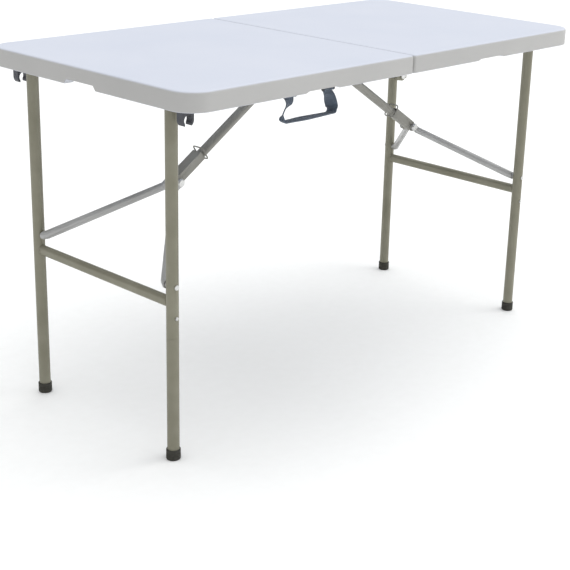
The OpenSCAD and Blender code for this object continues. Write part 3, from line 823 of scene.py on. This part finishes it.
def strap_turn(t, slack):
    """How far the strap has turned at the share t of its drop, in two steps: one above, one at the bend."""
    even = 32 * smooth_step((t - 0.1) / 0.6) + 58 * smooth_step((t - 0.74) / 0.26)
    held = 38 * smooth_step((t - 0.15) / 0.4) + 52 * smooth_step((t - 0.76) / 0.24)
    return math.radians(even + (held - even) * slack)


def strap_wrap(eye_x, eye_r, pivot):
    """Stations of the sewn end round the pin."""
    stations = []
    for i in range(WRAP_STEPS + 1):
        a = math.radians(EYE_WRAP_DEG * (1 - i / WRAP_STEPS))
        place = Vector((eye_x, pivot.y + eye_r * math.cos(a), pivot.z + eye_r * math.sin(a)))
        stations.append((place, Vector((1, 0, 0)), 0.0, STRAP_W, STRAP_THIN))
    return stations


def strap_drop(eye_x, out_x, bottom, eye_r, pivot, slack):
    """Stations from the pin down to the bend."""
    stations = []
    for i in range(1, DROP_STEPS + 1):
        t = i / DROP_STEPS
        turn = strap_turn(t, slack)
        x = eye_x + (out_x - eye_x) * smooth_step(t)
        y = pivot.y + eye_r * (1 - smooth_step(3 * t))
        place = Vector((x, y, pivot.z + (bottom - pivot.z) * t))
        wide = Vector((math.cos(turn), -math.sin(turn), 0))
        width = STRAP_W * (1 - STRAP_NARROWING * slack * smooth_step(t))
        thick = STRAP_THIN + (STRAP_THICK - STRAP_THIN) * smooth_step(3 * t)
        stations.append((place, wide, 0.0, width, thick))
    return stations


def strap_bottom(out_x, run_z, bottom, pivot, slack):
    """Stations of the bend and of the run to the middle."""
    stations = []
    wide = Vector((0, -1, 0))
    for i in range(1, BEND_STEPS + 1):
        a = math.radians(90 * i / BEND_STEPS)
        x = out_x - STRAP_BEND_R * (1 - math.cos(a))
        place = Vector((x, pivot.y, bottom - STRAP_BEND_R * math.sin(a)))
        width = STRAP_W * (1 - STRAP_NARROWING * slack)
        stations.append((place, wide, STRAP_TILT * i / BEND_STEPS, width, STRAP_THICK))
    for i in range(1, RUN_STEPS + 1):
        t = i / RUN_STEPS
        place = Vector(((out_x - STRAP_BEND_R) * (1 - t), pivot.y, run_z))
        width = STRAP_W * (1 - STRAP_NARROWING * slack * (1 - smooth_step(t)))
        stations.append((place, wide, STRAP_TILT * (1 - t), width, STRAP_THICK))
    return stations


def strap_half(eye_x, out_x, run_z, eye_r, pivot, slack):
    """Half of the strap about x = 0, from an eye's sewn end to the middle of the run.

    A station is (place, width direction, twist, width, thickness). At the eye the width lies along the
    pin and on the run it lies across the table, so the drop takes a quarter turn, and it leans out as the
    run is wider. A slack of 1 bunches the webbing, which narrows to the bend. The upper part turns less,
    so that the strap clears the rail and the edge when it swings out."""
    bottom = run_z + STRAP_BEND_R
    stations = strap_wrap(eye_x, eye_r, pivot)
    stations += strap_drop(eye_x, out_x, bottom, eye_r, pivot, slack)
    return stations + strap_bottom(out_x, run_z, bottom, pivot, slack)


def mirror_x(v):
    return Vector((-v.x, v.y, v.z))


def strap_ribbon(bm, stations, uv_layer):
    """A flat ribbon of webbing through stations, thinner at its selvedges, with U along it and V across."""
    cross, selvedge, u_per_metre = 9, 0.35, 40
    rings, lengths = [], [0.0]
    last = len(stations) - 1
    for k, (place, wide, twist, width, thick) in enumerate(stations):
        tangent = (stations[min(k + 1, last)][0] - stations[max(k - 1, 0)][0]).normalized()
        wide = (wide - tangent * wide.dot(tangent)).normalized()
        normal = wide.cross(tangent)
        turned = wide * math.cos(twist) + normal * math.sin(twist)
        normal = normal * math.cos(twist) - wide * math.sin(twist)
        ring = []
        for face in (1, -1):
            for i in range(cross):
                t = face * (2 * i / (cross - 1) - 1)
                half_t = face * thick / 2 * (1 - selvedge * t ** 4)
                ring.append(place + turned * (t * width / 2) + normal * half_t)
        rings.append(ring)
        if k:
            lengths.append(lengths[-1] + (place - stations[k - 1][0]).length)
    uv_of = {}
    for row, along in zip(loft(bm, rings), lengths):
        for i, v in enumerate(row):
            across = i if i < cross else 2 * cross - 1 - i
            uv_of[v] = (along * u_per_metre, across / (cross - 1))
    for f in bm.faces:
        for corner in f.loops:
            corner[uv_layer].uv = uv_of[corner.vert]


def make_handle():
    """One length of webbing, looped and sewn round a pin at each end, with a flat run between its drops."""
    lo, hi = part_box("handle_strap")
    pivot = Vector(joint("handle_swing")["pos_m"])
    centre = Vector(((lo.x + hi.x) / 2, 0, 0))
    out_x = (hi.x - lo.x - STRAP_THICK) / 2
    run_z = lo.z + STRAP_RUN_UP
    eye_r = hi.z - pivot.z - STRAP_THIN / 2 - EYE_GAP
    right = strap_half(EYE_RIGHT, out_x, run_z, eye_r, pivot, 0)
    left = strap_half(EYE_LEFT, out_x, run_z, eye_r, pivot, 1)
    stations = []
    for place, wide, twist, width, thick in right:
        stations.append((centre + place, wide, twist, width, thick))
    for place, wide, twist, width, thick in reversed(left[:-1]):
        stations.append((centre + mirror_x(place), mirror_x(wide), -twist, width, thick))
    bm = bmesh.new()
    strap_ribbon(bm, stations, bm.loops.layers.uv.new("UVMap"))
    o = make_object("carry_strap", bm, WEBBING, 50)
    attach(o, "carry_handle")
    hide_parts("handle_strap")


# ---------------------------------------------------------------- put it together

make_camera()
make_stage()
for side in SIDES:
    make_panel(side)
    make_ring(side)
    for end in ENDS:
        make_foot(side, end)
make_handle()

CLIP_EDGE = 1.2 * MM
TUBE_EDGE = 1.0 * MM
FRAME_EDGE = 0.8 * MM
SMALL_EDGE = 0.5 * MM

for node, o in nodes.items():
    if o.hide_render:
        continue
    if "clip" in node:
        paint(node, CLIP_PLASTIC)
        soften(node, CLIP_EDGE, 3)
    elif "caps" in node:
        paint(node, BLACK)
        soften(node, FRAME_EDGE)
    elif "mounts" in node:
        paint(node, CLIP_PLASTIC)
        soften(node, SMALL_EDGE)
    elif any(word in node for word in ("screws", "pin", "rivets", "button")):
        paint(node, ZINC)
        soften(node, SMALL_EDGE)
    elif "brace_arm" in node:
        paint(node, ARM_COAT)
        soften(node, TUBE_EDGE, 3)
    elif any(word in node for word in ("brace_tube", "saddle")):
        paint(node, BRACE_COAT)
        soften(node, TUBE_EDGE, 3)
    else:
        paint(node, FRAME_COAT)
        soften(node, FRAME_EDGE)

for side in SIDES:
    body = side + "_leg_frame"
    pivot_z = middle(side + "_pivot_tube").z
    bar_z = middle(side + "_crossbar").z
    for end, e in ENDS.items():
        leg = middle(f"{side}_{end}_upper_leg")
        out = Vector((0, e, 0))
        at_pivot = (leg.x, leg.y - e * PIVOT_WELD_IN, pivot_z)
        at_bar = (leg.x, leg.y - e * CROSSBAR_WELD_IN, bar_z)
        weld_bead(f"{side}_{end}_pivot_weld", at_pivot, out, PIVOT_WELD_R, body)
        weld_bead(f"{side}_{end}_crossbar_weld", at_bar, out, CROSSBAR_WELD_R, body, CROSSBAR_SQUASH)
